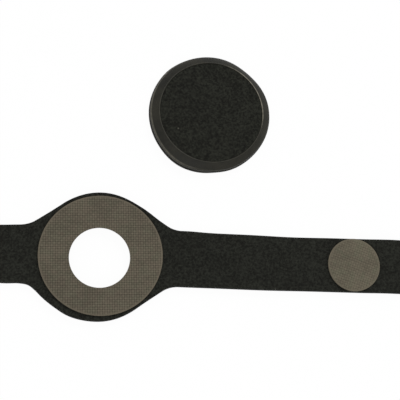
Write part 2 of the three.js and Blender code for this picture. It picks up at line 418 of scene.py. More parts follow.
def outer_reach(node: str, centre: Vector) -> float:
    """How far a CAD node reaches from a centre along X, in millimetres."""
    return (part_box(node)[1].x - centre.x) / MM


@dataclass(frozen=True)
class Bump:
    """A stretch where an outline stands outside its pattern, or inside it where the size is negative."""

    at: float
    spread: float
    size: float

    def out(self, place: np.ndarray, period: float) -> np.ndarray:
        """How far the outline stands out at each place along it, in millimetres."""
        away = (place - self.at + period / 2) % period - period / 2
        return self.size * np.exp(-((away / self.spread) ** 2))


def standing_out(bumps: Sequence[Bump], place: np.ndarray, period: float = ENDLESS) -> np.ndarray:
    """How far an outline with several bumps stands out at each place along it, in millimetres."""
    return sum(bump.out(place, period) for bump in bumps)


# Finishes


class Wiring:
    """A material's nodes, with short calls that add one and join it up."""

    MIX_COLOURS = (6, 7)  # a Mix node's two colour inputs, whose names its other inputs share
    MIX_RESULT = 2  # its colour output

    def __init__(self, name: str, roughness: float, specular: float) -> None:
        """Make the material.

        Args:
            name: The material's name.
            roughness: The shader's roughness, where no pattern sets it.
            specular: The shader's specular level, the same all over.
        """
        self.material = bpy.data.materials.new(name)
        self.material.use_nodes = True
        self.nodes = self.material.node_tree.nodes
        self.links = self.material.node_tree.links
        self.shader = self.nodes["Principled BSDF"]
        self.shader.inputs["Roughness"].default_value = roughness
        self.shader.inputs["Specular IOR Level"].default_value = specular

    def add(self, kind: str, inputs: dict, **settings) -> bpy.types.Node:
        """Add a node, set its options, and set or join its inputs.

        Args:
            kind: The node's type name.
            inputs: A value or a socket for each input, by name or number.
            settings: The node's own options.

        Returns:
            The new node.
        """
        node = self.nodes.new(kind)
        for key, value in settings.items():
            setattr(node, key, value)
        for key, value in inputs.items():
            if isinstance(value, Socket):
                self.links.new(value, node.inputs[key])
            else:
                node.inputs[key].default_value = value
        return node

    def math(self, operation: str, *values: float | Socket, clamp: bool = False) -> Socket:
        """Join a math node."""
        inputs = dict(enumerate(values))
        return self.add("ShaderNodeMath", inputs, operation=operation, use_clamp=clamp).outputs[0]

    def times(self, first: Socket, second: float | Socket) -> Socket:
        """Multiply two values."""
        return self.math("MULTIPLY", first, second)

    def plus(self, first: Socket, second: float | Socket, clamp: bool = False) -> Socket:
        """Add two values."""
        return self.math("ADD", first, second, clamp=clamp)

    def weighed(self, first: Socket, share: float, second: Socket) -> Socket:
        """Average two values, of which the first counts for the given share."""
        return self.plus(self.times(first, share), self.times(second, 1 - share))

    def place(self, centre: Vector, turn: float = 0.0) -> Socket:
        """Millimetres from a centre on the object, turned about Z."""
        source = self.add("ShaderNodeTexCoord", {}).outputs["Object"]
        return self.centred(source, centre, turn)

    def cloth_place(self, centre: Vector) -> Socket:
        """Millimetres from a centre on flat cloth, kept by the cloth where it bends."""
        source = self.add("ShaderNodeAttribute", {}, attribute_name=CLOTH_PLACE).outputs["Vector"]
        return self.centred(source, centre, 0.0)

    def centred(self, source: Socket, centre: Vector, turn: float) -> Socket:
        """Centre, turn and scale a place in metres to millimetres."""
        inputs = {"Vector": source, "Location": centre, "Rotation": (0, 0, turn), "Scale": (MM, MM, MM)}
        return self.add("ShaderNodeMapping", inputs, vector_type="TEXTURE").outputs[0]

    def stretched(self, place: Socket, scale: Sequence[float]) -> Socket:
        """Scale a place along its own axes."""
        return self.add("ShaderNodeMapping", {"Vector": place, "Scale": scale}).outputs[0]

    def axes(self, place: Socket) -> tuple[Socket, Socket, Socket]:
        """Split a place into X, Y and Z."""
        return tuple(self.add("ShaderNodeSeparateXYZ", {"Vector": place}).outputs)

    def radius(self, place: Socket) -> Socket:
        """Distance from the upright axis through a place's centre."""
        flat = self.stretched(place, (1, 1, 0))
        return self.add("ShaderNodeVectorMath", {0: flat}, operation="LENGTH").outputs["Value"]

    def noise(self, place: Socket, scale: float, detail: float, roughness: float = 0.6) -> Socket:
        """Cloudy noise, with features about one over scale millimetres across."""
        inputs = {"Vector": place, "Scale": scale, "Detail": detail, "Roughness": roughness}
        return self.add("ShaderNodeTexNoise", inputs).outputs[0]

    def cells(self, place: Socket, scale: float, feature: str) -> bpy.types.Node:
        """A net of uneven cells, about one over scale millimetres across."""
        inputs = {"Vector": place, "Scale": scale, "Randomness": 1.0}
        return self.add("ShaderNodeTexVoronoi", inputs, feature=feature)

    def ramp(self, value: Socket, low: float, high: float, start: float = 0, end: float = 1) -> Socket:
        """Carry a value from low to high over to start to end, smoothly and without overshoot."""
        inputs = {0: value, 1: low, 2: high, 3: start, 4: end}
        return self.add("ShaderNodeMapRange", inputs, interpolation_type="SMOOTHSTEP").outputs[0]

    def blend(self, share: Socket, *colours: Colour | Socket) -> Socket:
        """Mix two colours.

        Args:
            share: The share of the second colour.
            colours: The two colours.

        Returns:
            The mixed colour.
        """
        mixer = self.nodes.new("ShaderNodeMix")
        mixer.data_type = "RGBA"
        self.links.new(share, mixer.inputs[0])
        for number, colour in zip(self.MIX_COLOURS, colours):
            if isinstance(colour, Socket):
                self.links.new(colour, mixer.inputs[number])
            else:
                mixer.inputs[number].default_value = (*colour, 1)
        return mixer.outputs[self.MIX_RESULT]

    def shader_mix(self, share: Socket, first: Socket, second: Socket) -> Socket:
        """Mix two shaders, of which the second counts for the given share."""
        return self.add("ShaderNodeMixShader", {0: share, 1: first, 2: second}).outputs[0]

    def tinted(self, colour: Socket, tint: Colour) -> Socket:
        """Multiply a colour by another."""
        return self.add("ShaderNodeVectorMath", {0: colour, 1: tint}, operation="MULTIPLY").outputs[0]

    def colour(self, value: Socket) -> None:
        """Set the base colour."""
        self.links.new(value, self.shader.inputs["Base Color"])

    def rough(self, value: Socket) -> None:
        """Set the roughness pattern."""
        self.links.new(value, self.shader.inputs["Roughness"])

    def sheen(self, weight: float, roughness: float) -> None:
        """Give the fibres a sheen, the same all over."""
        self.shader.inputs["Sheen Weight"].default_value = weight
        self.shader.inputs["Sheen Roughness"].default_value = roughness

    def bump(self, height: Socket, depth: float, strength: float) -> None:
        """Raise the surface by a pattern, on top of any that is there.

        Args:
            height: The pattern, from 0 to 1.
            depth: Its full height, in millimetres.
            strength: How much of it is used.
        """
        inputs = {"Strength": strength, "Distance": depth * MM, "Height": height}
        if self.shader.inputs["Normal"].is_linked:
            inputs["Normal"] = self.shader.inputs["Normal"].links[0].from_socket
        self.links.new(self.add("ShaderNodeBump", inputs).outputs[0], self.shader.inputs["Normal"])


def shaded(colour: Colour, level: float) -> Colour:
    """A colour made lighter or darker."""
    return tuple(channel * level for channel in colour)


def linear(red: float, green: float, blue: float) -> Colour:
    """A screen colour, 0 to 255, as the light it stands for."""
    shares = (channel / 255 for channel in (red, green, blue))
    return tuple(s / 12.92 if s <= 0.04045 else ((s + 0.055) / 1.055) ** 2.4 for s in shares)


@dataclass(frozen=True, kw_only=True)
class Finish:
    """A finish's name, the centre that its pattern is measured from, and whether it bends with the cloth."""

    name: str
    centre: Vector
    follows_cloth: bool = False

    def place(self, wires: Wiring) -> Socket:
        """Where the pattern is read: as the flat cloth keeps it, or on the object."""
        return wires.cloth_place(self.centre) if self.follows_cloth else wires.place(self.centre)


@dataclass(frozen=True, kw_only=True)
class KnitFinish(Finish):
    """Fine black jersey knit, mottled, with a little lint on it."""

    dark: Colour
    light: Colour
    lint: Colour = linear(104, 103, 92)
    wale: float = 0.55
    course: float = 0.46
    sway_share: float = 0.18
    lint_net: float = 0.17
    lint_share: float = 0.14

    def material(self) -> bpy.types.Material:
        """Build the material.

        Returns:
            The new material.
        """
        wires = Wiring(self.name, roughness=0.9, specular=0.12)
        place = self.place(wires)
        along, across, _ = wires.axes(place)
        # Stitches: wales run along the cloth, and each course sways them to and fro.
        sway = wires.math("SINE", wires.times(along, 2 * math.pi / self.course))
        swayed = wires.plus(across, wires.times(sway, self.wale * self.sway_share))
        wales = wires.math("ABSOLUTE", wires.math("SINE", wires.times(swayed, math.pi / self.wale)))
        mottle = wires.weighed(wires.noise(place, 1.3, 2), 0.8, wires.noise(place, 0.16, 3))
        stitch = wires.times(wires.ramp(wales, 0.1, 0.9, 0.62, 1.0), wires.ramp(mottle, 0.34, 0.7))
        knit = wires.blend(stitch, self.dark, self.light)
        # Lint: a few cells of a coarse net hold one pale fibre end each.
        net = wires.cells(wires.stretched(place, (1, 1, 0.2)), self.lint_net, "F1")
        near = wires.ramp(net.outputs["Distance"], 0.025, 0.075, 1, 0)
        chosen = wires.math("GREATER_THAN", wires.axes(net.outputs["Color"])[0], 1 - self.lint_share)
        wires.colour(wires.blend(wires.times(wires.times(near, chosen), 0.6), knit, self.lint))
        wires.bump(wales, 0.09, 0.7)
        wires.bump(wires.noise(place, 6.0, 3, 0.7), 0.12, 0.55)
        wires.sheen(0.04, 0.5)
        return wires.material


@dataclass(frozen=True, kw_only=True)
class FoamFinish(Finish):
    """The cut face of black closed-cell foam."""

    dark: Colour = linear(18, 18, 17)
    light: Colour = linear(36, 36, 34)
    net: float = 3.2

    def material(self) -> bpy.types.Material:
        """Build the material.

        Returns:
            The new material.
        """
        wires = Wiring(self.name, roughness=0.85, specular=0.12)
        place = self.place(wires)
        to_edge = wires.cells(place, self.net, "DISTANCE_TO_EDGE").outputs["Distance"]
        wall = wires.ramp(to_edge, 0.02, 0.22, 1, 0)
        share = wires.times(wires.ramp(wires.noise(place, 0.8, 3), 0.3, 0.7, 0.5, 1.0), wall)
        wires.colour(wires.blend(share, self.dark, self.light))
        wires.bump(wall, 0.12, 0.8)
        return wires.material


@dataclass(frozen=True, kw_only=True)
class LoopFinish(Finish):
    """Black brushed loop knit, which hooks hold on to."""

    dark: Colour = linear(21, 21, 20)
    light: Colour = linear(52, 52, 48)
    net: float = 2.3

    def material(self) -> bpy.types.Material:
        """Build the material.

        Returns:
            The new material.
        """
        wires = Wiring(self.name, roughness=0.95, specular=0.1)
        place = self.place(wires)
        fluff = wires.cells(place, self.net, "SMOOTH_F1").outputs["Distance"]
        strands = wires.noise(wires.stretched(place, (1.0, 2.6, 1.6)), 3.4, 5, 0.75)
        height = wires.plus(wires.times(fluff, 0.8), strands)
        patch = wires.ramp(wires.noise(place, 0.22, 3), 0.3, 0.7, 0.65, 1.0)
        tone = wires.times(wires.ramp(height, 0.55, 1.15), patch)
        wires.colour(wires.blend(tone, self.dark, self.light))
        wires.bump(height, 0.35, 0.9)
        wires.sheen(0.12, 0.35)
        return wires.material


@dataclass(frozen=True, kw_only=True)
class WeaveFinish(Finish):
    """Taupe plain weave: painted shade in its furrows and pinholes, and warp floats paler than weft floats.
    """

    turn: float
    pitch: float
    radius: float
    yarn: Colour
    furrow: float
    float_contrast: float
    stretch: Point = (1.0, 1.0)
    # The colour of the painted shade in the furrows and pinholes.
    gap: Colour = linear(34, 31, 26)
    cooler: Colour = (0.96, 1.02, 0.99)
    rim: Point = (0.75, 0.35)

    def furrows(self, wires: Wiring, warp: Socket, weft: Socket) -> Socket:
        """Find how dark the painted shade in the furrows between the yarns is, with a pinhole where two of
        them cross.

        Args:
            wires: The material's nodes.
            warp: The warp's wave, largest where a yarn is highest.
            weft: The weft's wave.

        Returns:
            0 on the yarns and up to 1 in a pinhole.
        """
        gaps = [wires.ramp(wires.math("ABSOLUTE", wave), 0.0, 0.7, 1, 0) for wave in (warp, weft)]
        pinhole = wires.times(*gaps)
        lines = wires.times(wires.math("MAXIMUM", *gaps), self.furrow)
        return wires.plus(wires.times(pinhole, 0.5), lines, clamp=True)

    def material(self) -> bpy.types.Material:
        """Build the material.

        Returns:
            The new material.
        """
        wires = Wiring(self.name, roughness=0.75, specular=0.2)
        place = wires.place(self.centre, self.turn)
        along, across, _ = wires.axes(place)
        rate = math.pi / self.pitch
        warp, weft = (wires.math("COSINE", wires.times(axis, rate)) for axis in (across, along))
        round_place = wires.stretched(place, (1 / self.stretch[0], 1 / self.stretch[1], 1))
        rim_start, rim_end = (self.radius - inside for inside in self.rim)
        edge = wires.ramp(wires.radius(round_place), rim_start, rim_end)
        fading = wires.math("SUBTRACT", 1.0, wires.times(edge, 0.8))
        # Painted shade in the furrows and pinholes, fading near the rim.
        dark = wires.times(self.furrows(wires, warp, weft), fading)
        # Tone: worn patches, uneven yarns, and the floats that lie across or along.
        slub = wires.noise(wires.stretched(place, (0.35, 1.6, 1.0)), 1.0, 3)
        worn = wires.weighed(wires.noise(place, 0.14, 3), 0.5, slub)
        floats = wires.times(wires.times(warp, weft), self.float_contrast)
        tone = wires.plus(wires.ramp(worn, 0.36, 0.64), floats, clamp=True)
        yarn = wires.blend(tone, shaded(self.yarn, 0.84), shaded(self.yarn, 1.16))
        hue = wires.ramp(wires.noise(place, 0.42, 2, 0.5), 0.42, 0.62)
        yarn = wires.blend(hue, yarn, wires.tinted(yarn, self.cooler))
        yarn = wires.blend(wires.times(edge, 0.6), yarn, shaded(self.yarn, 1.12))
        wires.colour(wires.blend(dark, yarn, self.gap))
        wires.bump(wires.noise(wires.stretched(place, (7.0, 7.0, 3.0)), 1.0, 3, 0.7), 0.04, 0.6)
        return wires.material


@dataclass(frozen=True, kw_only=True)
class FilmFinish(Finish):
    """Pressure-sensitive film, yellowish and slightly cloudy."""

    dark: Colour = linear(112, 106, 86)
    light: Colour = linear(140, 134, 112)

    def material(self) -> bpy.types.Material:
        """Build the material.

        Returns:
            The new material.
        """
        wires = Wiring(self.name, roughness=0.4, specular=0.4)
        cloud = wires.noise(self.place(wires), 0.5, 3)
        wires.colour(wires.blend(wires.ramp(cloud, 0.3, 0.7), self.dark, self.light))
        wires.rough(wires.ramp(cloud, 0.3, 0.7, 0.35, 0.55))
        return wires.material


@dataclass(frozen=True)
class Rub:
    """A painted highlight: a pale line round a moulding, the brightest on one side, between two distances
    that way.
    """

    radius: float
    width: float
    towards: float
    least: float
    most: float
    begins: float = 0.0
    full_at: float = 18.0


@dataclass(frozen=True, kw_only=True)
class MouldedFinish(Finish):
    """Brown-black semi-gloss moulding with fine grain, and painted highlights as pale lines along its edges.
    """

    rubs: tuple[Rub, ...]
    dark: Colour = linear(32, 32, 27)
    light: Colour = linear(49, 47.5, 40)
    # The colour of the painted highlights.
    rubbed: Colour = linear(150, 145, 130)

    def rub(self, wires: Wiring, place: Socket, rub: Rub) -> Socket:
        """Find how strongly one painted highlight lightens the moulding.

        Args:
            wires: The material's nodes.
            place: Where the pattern is read.
            rub: The painted highlight, a pale line.

        Returns:
            0 where there is no painted highlight, and 1 where it is at its brightest.
        """
        radius = wires.add("ShaderNodeAttribute", {}, attribute_name=TURNED_RADIUS).outputs["Fac"]
        off_line = wires.math("ABSOLUTE", wires.math("SUBTRACT", radius, rub.radius))
        line = wires.ramp(off_line, rub.width * 0.2, rub.width, 1, 0)
        along, across, _ = wires.axes(place)
        heading = wires.plus(
            wires.times(along, math.cos(rub.towards)),
            wires.times(across, math.sin(rub.towards)),
        )
        side = wires.ramp(heading, rub.begins, rub.full_at, rub.least, rub.most)
        uneven = wires.ramp(wires.noise(place, 0.6, 3), 0.35, 0.65, 0.55, 1.0)
        return wires.times(wires.times(line, side), uneven)

    def material(self) -> bpy.types.Material:
        """Build the material.

        Returns:
            The new material.
        """
        wires = Wiring(self.name, roughness=0.5, specular=0.22)
        place = self.place(wires)
        grain = wires.noise(place, 4.5, 3)
        mix = wires.weighed(wires.noise(place, 0.12, 4), 0.7, grain)
        colour = wires.blend(wires.ramp(mix, 0.36, 0.64), self.dark, self.light)
        # Painted highlights: pale lines along the bead and the bezel's edge, in place of gloss.
        for rub in self.rubs:
            colour = wires.blend(self.rub(wires, place, rub), colour, self.rubbed)
        wires.colour(colour)
        wires.rough(wires.ramp(mix, 0.3, 0.7, 0.42, 0.6))
        wires.bump(grain, 0.015, 0.7)
        return wires.material


@dataclass(frozen=True, kw_only=True)
class PlatedFinish(Finish):
    """Plated steel with fine turning marks round its axis."""

    light: Colour = linear(196, 197, 198)
    dark: Colour = linear(168, 166, 160)
    marks: float = 42.0

    def material(self) -> bpy.types.Material:
        """Build the material.

        Returns:
            The new material.
        """
        wires = Wiring(self.name, roughness=0.25, specular=0.5)
        wires.shader.inputs["Metallic"].default_value = 1.0
        place = self.place(wires)
        stains = wires.noise(wires.stretched(place, (0.02, 0.02, 0.02)), 1.0, 1, 0.5)
        haze = wires.noise(place, 1.1, 4)
        share = wires.math("MULTIPLY", wires.ramp(haze, 0.35, 0.7), wires.plus(stains, 0.4), clamp=True)
        wires.colour(wires.blend(share, self.light, self.dark))
        wires.rough(wires.ramp(haze, 0.3, 0.7, 0.18, 0.34))
        wires.bump(wires.math("SINE", wires.times(wires.radius(place), self.marks)), 0.006, 0.6)
        return wires.material


# The band


@dataclass
class BandPattern:
    """The cutting pattern of the band, in millimetres from the centre of its eye."""

    half_width: float
    eye_radius: float
    reach: dict[Arm, float]
    upper_bumps: tuple[Bump, ...] = (
        Bump(-27, 7, 0.5),
        Bump(2, 11, 0.3),
        Bump(16.5, 4, 0.5),
        Bump(31, 7, 0.45),
        Bump(71, 12, -0.3),
        Bump(109, 8, 0.25),
    )
    lower_bumps: tuple[Bump, ...] = (
        Bump(-33, 5.5, 0.56),
        Bump(-23.6, 3, -0.9),
        Bump(-14.5, 8, 0.85),
        Bump(15, 9, -0.52),
        Bump(60, 14, 0.18),
        Bump(108, 8, -0.15),
    )
    hole_radius: float = 11.9
    shoulder_slope: float = math.radians(35)
    shoulder_lean: float = math.radians(1.5)
    shoulder_fillet: float = 10.0
    round_steps: int = 240
    tip_segments: int = 28
    fillet_steps: int = 180
    weld: float = 0.09
    net_pitch: float = 1.7
    still_width: float = 0.5  # the share of the width in the middle that keeps to the pattern
    yielding_width: float = 0.3  # the share over which the cloth begins to follow the bumps
    still_ring: float = 0.5  # how far round the hole the cloth keeps to the pattern

    def slope(self, side: int, end: int) -> float:
        """Slope of one shoulder: the cut leans a little, so opposite quarters are alike."""
        return self.shoulder_slope - side * end * self.shoulder_lean

    def tangent(self, slope: float) -> Vector:
        """Where a shoulder of this slope leaves the eye, in the upper right quarter."""
        return Vector((math.sin(slope), math.cos(slope))) * self.eye_radius

    def corner_x(self, slope: float) -> float:
        """Where a shoulder of this slope would meet the arm's edge without its fillet."""
        tangent = self.tangent(slope)
        return tangent.x + (tangent.y - self.half_width) / math.tan(slope)

    def fillet_centre(self, slope: float) -> Vector:
        """Centre of a shoulder's fillet, in the upper right quarter."""
        reach = self.shoulder_fillet * math.tan(slope / 2)
        return Vector((self.corner_x(slope) + reach, self.half_width + self.shoulder_fillet))

    def strip(self, span: Point) -> bpy.types.Object:
        """Make the two arms as one strip with round ends.

        Args:
            span: Heights of its underside and its upper side.

        Returns:
            The strip, on the bench.
        """
        near = (-self.reach[Arm.LEFT], -self.half_width, span[0])
        strip = block("strip", near, (self.reach[Arm.RIGHT], self.half_width, span[1]))
        with editing(strip):
            pick(strip, Pick.EDGE, is_upright)
            rounding = {"offset": self.half_width - TOUCHING, "segments": self.tip_segments}
            bpy.ops.mesh.bevel(**rounding, affect="EDGES", clamp_overlap=False)
        return strip

    def join_quarter(self, body: bpy.types.Object, side: int, end: int, span: Point) -> None:
        """Join the outline to one shoulder between the eye and an arm, with its inner corner rounded.

        Args:
            body: The outline so far.
            side: 1 at the upper edge of the band, -1 at the lower edge.
            end: 1 on the right, -1 on the left.
            span: Heights of its underside and its upper side.
        """
        low, high = span
        slope = self.slope(side, end)
        tangent = self.tangent(slope)
        shoulder = block("shoulder", (0, 0, low), (end * self.corner_x(slope), side * tangent.y, high))
        outward = Vector((end * tangent.x, side * tangent.y, 0))
        bisect(shoulder, outward, outward / self.eye_radius, use_fill=True, clear_outer=True)
        combine(body, shoulder, Cut.JOIN)
        centre = self.fillet_centre(slope)
        near_x = centre.x - self.shoulder_fillet * math.sin(slope)
        near_y = centre.y - self.shoulder_fillet * math.cos(slope)
        far_y = self.half_width - OVERRUN
        fillet = block("fillet", (end * near_x, side * near_y, low), (end * centre.x, side * far_y, high))
        round_cut = punch("round_cut", self.shoulder_fillet, span, self.fillet_steps)
        round_cut.location = (end * centre.x, side * centre.y, 0)
        combine(fillet, round_cut, Cut.REMOVE)
        combine(body, fillet, Cut.JOIN)

    def blank(self, name: str, span: Point) -> bpy.types.Object:
        """Make the whole outline as one solid between two heights.

        Args:
            name: The solid's name.
            span: Heights of its underside and its upper side.

        Returns:
            The solid, with the hole of the eye cut through.
        """
        body = drum(name, self.eye_radius, span, self.round_steps)
        combine(body, self.strip(span), Cut.JOIN)
        for side in (-1, 1):
            for end in (-1, 1):
                self.join_quarter(body, side, end, span)
        combine(body, punch("hole", self.hole_radius, span, self.round_steps), Cut.REMOVE)
        self.tidy_walls(body, span)
        return body

    def tidy_walls(self, body: bpy.types.Object, span: Point) -> None:
        """Keep only the two loops of the underside, weld them, and fill and raise them again.

        Args:
            body: The outline as a solid, on the bench.
            span: Heights of its underside and its upper side.
        """
        low, high = span
        with editing(body):
            bpy.ops.mesh.remove_doubles(threshold=self.weld)
            pick(body, Pick.VERT, lambda vert: vert.co.z > low + TOUCHING)
            bpy.ops.mesh.delete(type="VERT")
            pick(body, Pick.EDGE, lambda edge: not edge.is_boundary)
            bpy.ops.mesh.delete(type="EDGE")
            while pick(body, Pick.VERT, lambda vert: len(vert.link_edges) < 2):
                bpy.ops.mesh.delete(type="VERT")
            on_all(bpy.ops.mesh.dissolve_limited, angle_limit=FLAT_WITHIN)
            on_all(bpy.ops.mesh.fill, use_beauty=True)
            on_all(bpy.ops.mesh.dissolve_limited, angle_limit=FLAT_WITHIN)
            on_all(bpy.ops.mesh.extrude_region_move, TRANSFORM_OT_translate={"value": (0, 0, high - low)})
            face_out()

    def cut_unevenly(self, whole: bpy.types.Object) -> None:
        """Move the outline a little off its pattern, as the real cut is, and leave the hole round.

        Args:
            whole: The whole ply, on the bench.
        """
        for axis, reach in ((ALONG_X, max(self.reach.values())), (ALONG_Y, self.eye_radius)):
            lines = int(reach / self.net_pitch)
            for k in range(-lines, lines + 1):
                bisect(whole, axis * k * self.net_pitch, axis, threshold=self.weld)
        places = points(whole.data)
        along, across = places[:, 0], places[:, 1]
        share = np.clip((np.abs(across) / self.half_width - self.still_width) / self.yielding_width, 0, 1)
        share[np.hypot(along, across) < self.hole_radius + self.still_ring] = 0
        upper, lower = (standing_out(bumps, along) for bumps in (self.upper_bumps, self.lower_bumps))
        places[:, 1] += share * np.where(across > 0, upper, -lower)
        move_points(whole.data, places)


@dataclass
class Fold:
    """A place where an arm bends, along X in metres: its stretch of cloth, and the part that turns."""

    parent: str
    child: str
    start: float
    end: float
    turn_start: float
    turn_end: float


@dataclass
class Band:
    """The laminated band: back, core and liner, each cut into stretches at the joints."""

    frame: dict
    ring_clearance: float = 0.4
    bend_reach: float = 4.0
    column_pitch: float = 0.6
    smooth_below: float = 20.0
    die_cut_round: float = 0.14
    foam_hollow: float = 0.1
    past_tip: float = 1.0
    centre: Vector = field(init=False)
    folds: dict[Arm, list[Fold]] = field(init=False)
    pattern: BandPattern = field(init=False)

    def __post_init__(self) -> None:
        """Read the band's places from the frame."""
        self.centre = centre_of("band_liner_eye")
        ring_low, ring_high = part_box("grip_ring")
        self.folds = {
            Arm.LEFT: self.arm_folds(Arm.LEFT, ring_low.x - self.ring_clearance * MM),
            Arm.RIGHT: self.arm_folds(Arm.RIGHT, ring_high.x + self.ring_clearance * MM),
        }
        eye_low, eye_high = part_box("band_liner_eye")
        arm_low, arm_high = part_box("band_liner_left_4")
        self.pattern = BandPattern(
            half_width=(arm_high.y - arm_low.y) / 2 / MM,
            eye_radius=(eye_high.y - eye_low.y) / 2 / MM,
            reach={
                Arm.LEFT: (self.centre.x - arm_low.x) / MM,
                Arm.RIGHT: outer_reach("band_liner_right_4", self.centre),
            },
        )

    def arm_folds(self, arm: Arm, first_start: float) -> list[Fold]:
        """List an arm's folds, each spread to half-way to its neighbours.

        Args:
            arm: Which arm.
            first_start: Where the first bend may start, as an X in metres.

        Returns:
            The folds in order from the eye, with their stretches in metres along X.
        """
        leader = f"wrap_{arm.label}"
        joints = [joint for joint in self.frame["joints"] if joint["name"].startswith(leader)]
        places = [joint["pos_m"][0] for joint in joints]
        limits = [first_start]
        limits += [(here + after) / 2 for here, after in zip(places, places[1:])]
        limits.append(places[-1] + (places[-1] - limits[-1]))
        reach = arm.value * self.bend_reach * MM
        folds = []
        for joint, hinge, start, end in zip(joints, places, limits, limits[1:]):
            low, high = min(start, end), max(start, end)
            turn_start, turn_end = (min(max(x, low), high) for x in (hinge - reach, hinge + reach))
            folds.append(Fold(joint["parent"], joint["child"], start, end, turn_start, turn_end))
        return folds

    def ply(self, ply: Ply) -> bpy.types.Object:
        """Model one whole ply on the bench, with its edge as a die leaves it.

        Args:
            ply: Which layer.

        Returns:
            The ply: the foam's edge is drawn in, and the cloths' outer rims are rounded.
        """
        low, high = heights(f"band_{ply.value}_eye")
        whole = self.pattern.blank(f"whole_{ply.value}", (low, high))
        outside = high if ply is Ply.LINER else low
        with editing(whole):
            if ply is Ply.CORE:
                bpy.ops.mesh.bisect(plane_co=(0, 0, (low + high) / 2), plane_no=(0, 0, 1))
                pick(whole, Pick.VERT, lambda vert: low + TOUCHING < vert.co.z < high - TOUCHING)
                bpy.ops.transform.shrink_fatten(value=-self.foam_hollow)
            else:
                pick(whole, Pick.EDGE, lambda edge: is_rim(edge) and is_at(edge, outside))
                bpy.ops.mesh.bevel(
                    offset=self.die_cut_round, segments=2, affect="EDGES", clamp_overlap=False
                )
                # The bevel may set points of its round on top of each other.
                on_all(bpy.ops.mesh.remove_doubles, threshold=self.die_cut_round / 20)
        self.pattern.cut_unevenly(whole)
        return whole

    def bench_span(self, start: float, end: float) -> Point:
        """Two places along X in the frame, as the lower and the higher one on the bench."""
        first, second = ((x - self.centre.x) / MM for x in (start, end))
        return min(first, second), max(first, second)

    def stretch(
        self, whole: bpy.types.Object, name: str, start: float, end: float, fold: Fold | None = None
    ) -> bpy.types.Object:
        """Cut one stretch out of a ply.

        Args:
            whole: The whole ply, on the bench.
            name: The new piece's name.
            start: One end of the stretch along X, in metres in the frame.
            end: The other end.
            fold: The fold that it carries, where it gets closely spaced columns.

        Returns:
            The stretch, in place, with its flat place kept as an attribute.
        """
        left, right = self.bench_span(start, end)
        part = copy_of(whole, name)
        bisect(part, (left, 0, 0), ALONG_X, use_fill=True, clear_inner=True)
        bisect(part, (right, 0, 0), ALONG_X, use_fill=True, clear_outer=True)
        if fold:
            near, far = self.bench_span(fold.turn_start, fold.turn_end)
            columns = round((far - near) / self.column_pitch)
            for k in range(columns + 1):
                bisect(part, (near + (far - near) * k / columns, 0, 0), ALONG_X)
        settle(part, self.centre, self.smooth_below)
        flat = part.data.attributes.new(CLOTH_PLACE, "FLOAT_VECTOR", "POINT")
        flat.data.foreach_set("vector", points(part.data).ravel())
        return part

    def stretches(self, ply: Ply, whole: bpy.types.Object) -> list[bpy.types.Object]:
        """Cut a ply into all its stretches, and put the eye and the tails on the bodies that carry them.

        Args:
            ply: Which layer.
            whole: The whole ply, on the bench.

        Returns:
            The stretches, in place.
        """
        starts = [self.folds[arm][0].start for arm in Arm]
        eye = self.stretch(whole, f"{ply.value}_eye", *starts)
        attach(eye, "eye")
        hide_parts(f"band_{ply.value}_eye")
        made = [eye]
        for arm in Arm:
            for number, fold in enumerate(self.folds[arm], 1):
                name = f"{ply.value}_{arm.label}_fold_{number}"
                part = self.stretch(whole, name, fold.start, fold.end, fold)
                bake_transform(part)
                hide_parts(f"band_{ply.value}_{fold.child}")
                made.append(part)
            last = self.folds[arm][-1]
            tip = self.centre.x + arm.value * (self.pattern.reach[arm] + self.past_tip) * MM
            tail = self.stretch(whole, f"{ply.value}_{arm.label}_tail", last.end, tip)
            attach(tail, last.child)
            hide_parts(f"band_{ply.value}_{last.child}")
            made.append(tail)
        return made

    def build(self) -> None:
        """Model and dress the three plies."""
        cloth = {"centre": self.centre, "follows_cloth": True}
        knit_tones = {"dark": linear(25.5, 25.5, 22), "light": linear(49, 50.5, 44.5)}
        for ply, slot, finish in (
            (Ply.BACK, "loop_knit", LoopFinish(name="loop_knit", **cloth)),
            (Ply.CORE, "foam_core", FoamFinish(name="foam_cut_edge", **cloth)),
            (Ply.LINER, "knit_liner", KnitFinish(name="knit_liner", **knit_tones, **cloth)),
        ):
            material = finish.material()
            whole = self.ply(ply)
            made = self.stretches(ply, whole)
            bpy.data.objects.remove(whole)
            for part in made:
                dress(part, material)
            log.info("band %s: %d stretches", ply.value, len(made))


# The woven grips


